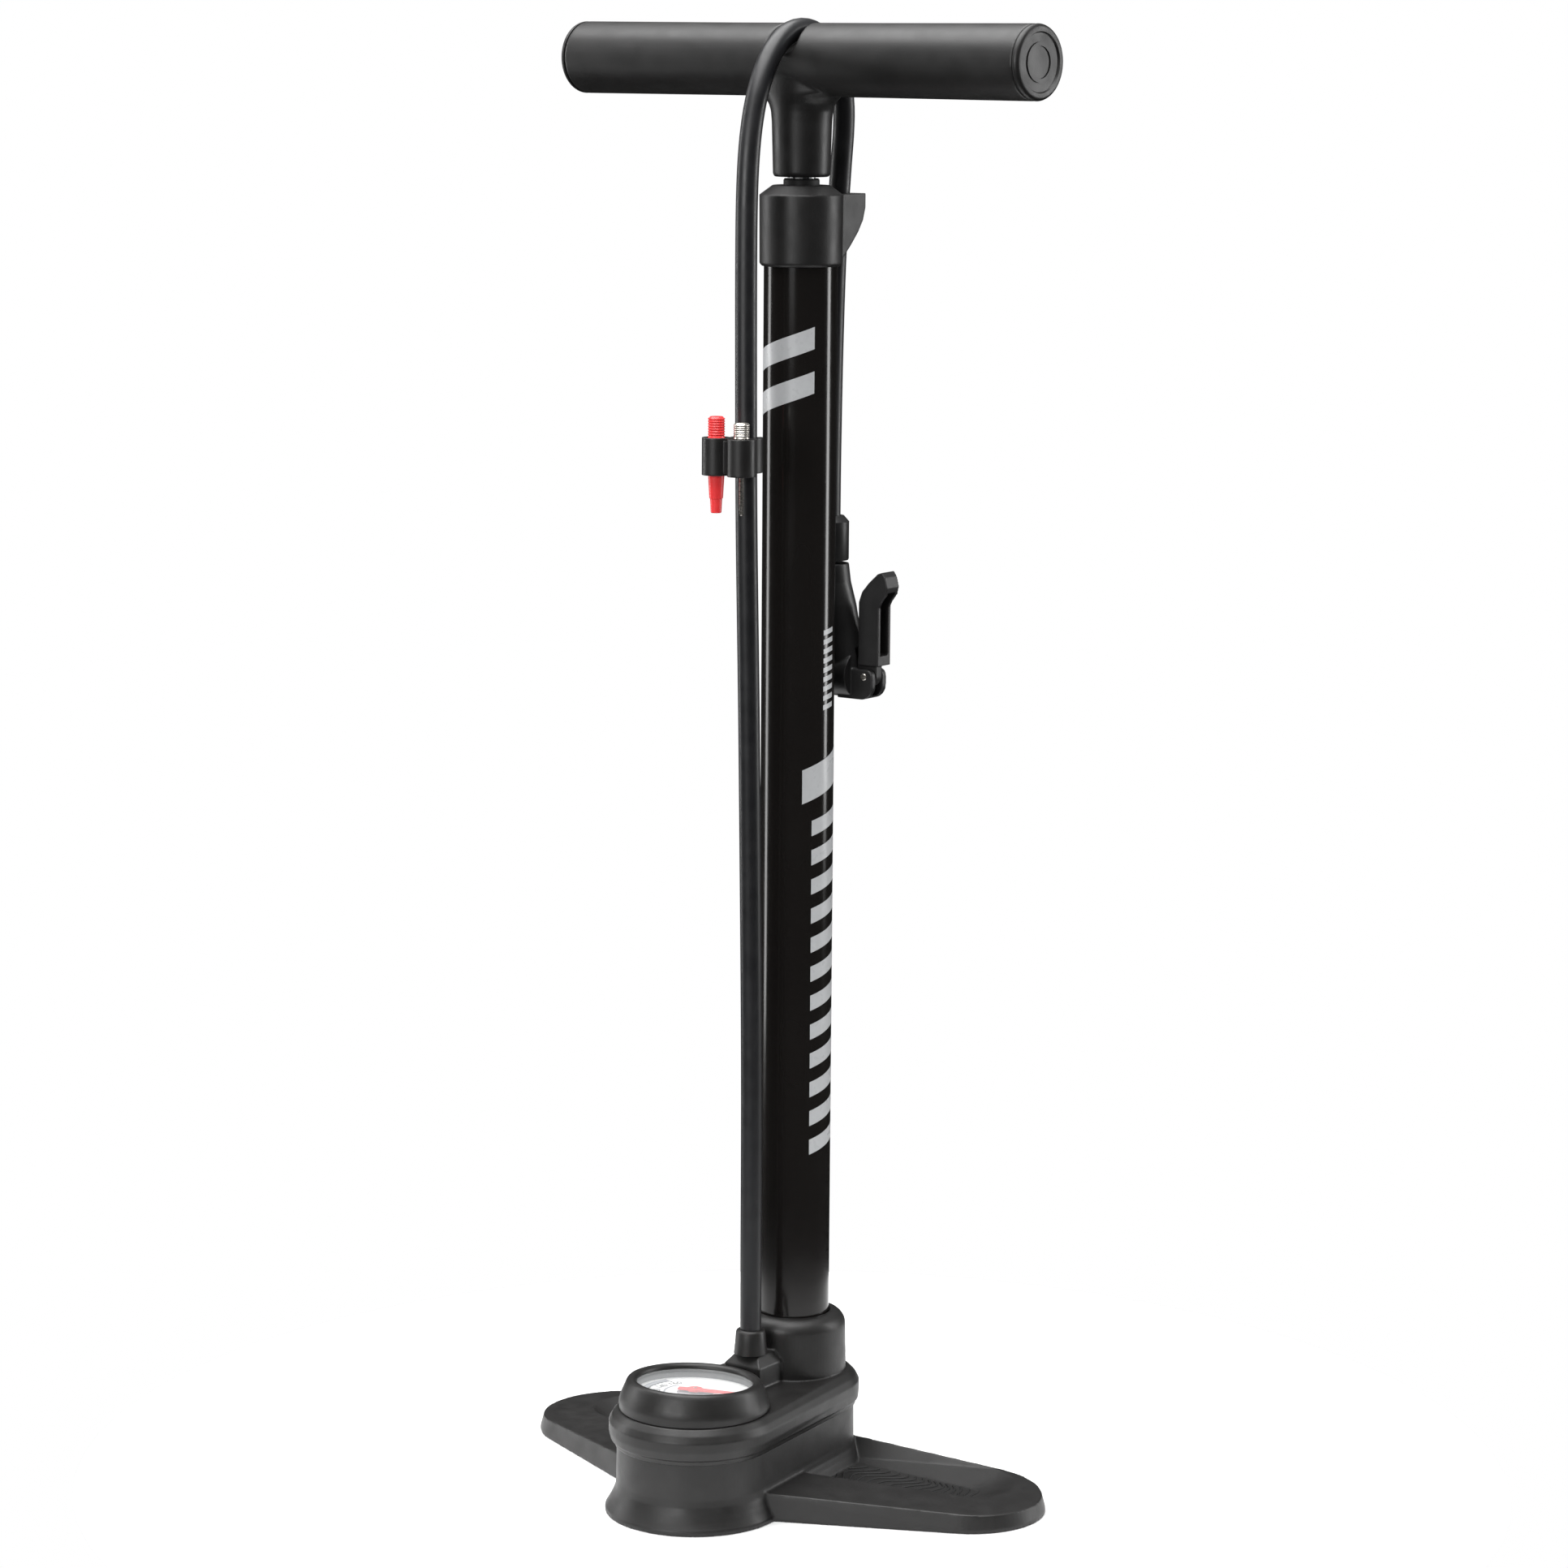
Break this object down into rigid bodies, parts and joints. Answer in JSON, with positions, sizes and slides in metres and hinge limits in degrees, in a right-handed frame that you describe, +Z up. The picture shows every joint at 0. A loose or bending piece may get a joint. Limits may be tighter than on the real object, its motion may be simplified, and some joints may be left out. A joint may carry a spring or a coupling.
{
  "type": "floor pump",
  "caption": "Hand floor pump for bicycle tyres with a T-handle, foot pegs, a pressure gauge and a hose with a lever head, stowed.",
  "frame": {"origin": "on the floor under the barrel's axis, on the underside of the base", "axes": "+X along the right foot peg, -Y towards the gauge, +Z up along the barrel"},
  "size_m": [0.2624, 0.1509, 0.6419],
  "materials": {
    "black_plastic": "satin, fine texture",
    "barrel_paint": "gloss black",
    "hose_rubber": "satin",
    "seal_rubber": "matte",
    "grey_plastic": "matte",
    "steel": "bright",
    "nickel": "nickel plated",
    "brass": "turned",
    "red_plastic": "gloss",
    "dial_white": "printed",
    "lens": "clear"
  },
  "bodies": {
    "pump": {"base_body": "black_plastic", "base_cover": "black_plastic", "barrel": "barrel_paint", "barrel_cap": "black_plastic", "guide_bush": "seal_rubber", "foot_plug": "grey_plastic", "foot_seal": "seal_rubber", "valve_keeper": "steel", "valve_spring": "steel", "air_manifold": "grey_plastic", "cover_screw_1": "steel", "cover_screw_2": "steel", "cover_screw_3": "steel", "cover_screw_4": "steel", "gauge_bezel": "black_plastic", "gauge_lens": "lens", "gauge_dial": "dial_white", "gauge_movement": "brass", "hose_ferrule": "black_plastic", "hose": "hose_rubber", "accessory_clip": "black_plastic", "head_ferrule": "black_plastic", "head_body": "black_plastic", "nose_cap": "black_plastic", "head_gasket": "seal_rubber", "lever_pin": "nickel"},
    "plunger": {"piston": "grey_plastic", "piston_seal": "seal_rubber"},
    "handle": {"rod": "steel", "piston_nut": "steel", "handle": "black_plastic", "end_plug_left": "black_plastic", "end_plug_right": "black_plastic", "handle_pin": "steel"},
    "thumb_lever": {"lever": "black_plastic"},
    "valve_pusher": {"valve_plunger": "grey_plastic"},
    "pointer": {"gauge_pointer": "red_plastic"},
    "poppet": {"valve_poppet": "seal_rubber"},
    "cone": {"cone_adaptor": "red_plastic"},
    "needle": {"ball_needle": "nickel"}
  },
  "joints": [
    {"name": "handle_slide", "type": "slide", "parent": "pump", "child": "plunger", "axis": [0, 0, 1], "range_m": [0, 0.45], "deforming": ["hose"]},
    {"name": "handle_turn", "type": "hinge", "parent": "plunger", "child": "handle", "pos_m": [0, 0, 0.05], "axis": [0, 0, 1], "range_deg": [-5, 18]},
    {"name": "lever_hinge", "type": "hinge", "parent": "pump", "child": "thumb_lever", "pos_m": [0.0199, 0.0274, 0.3576], "axis": [0, 1, 0], "range_deg": [0, 90]},
    {"name": "valve_push", "type": "slide", "parent": "pump", "child": "valve_pusher", "axis": [-1, 0, 0], "range_m": [0, 0.0028]},
    {"name": "pointer_turn", "type": "hinge", "parent": "pump", "child": "pointer", "pos_m": [0, -0.0744, 0.046], "axis": [0, -0.0523, -0.9986], "range_deg": [0, 224], "stiffness_Nm_per_rad": 0.0005},
    {"name": "check_valve", "type": "slide", "parent": "pump", "child": "poppet", "axis": [0, 0, 1], "range_m": [0, 0.0015], "stiffness_N_per_m": 200, "deforming": ["valve_spring"]},
    {"name": "cone_lift", "type": "slide", "parent": "pump", "child": "cone", "axis": [0, 0, 1], "range_m": [0, 0.045]},
    {"name": "needle_lift", "type": "slide", "parent": "pump", "child": "needle", "axis": [0, 0, 1], "range_m": [0, 0.045]}
  ],
  "couplings": [
    {"joint": "valve_push", "follows": "lever_hinge", "m_per_rad": 0.0017825}
  ]
}
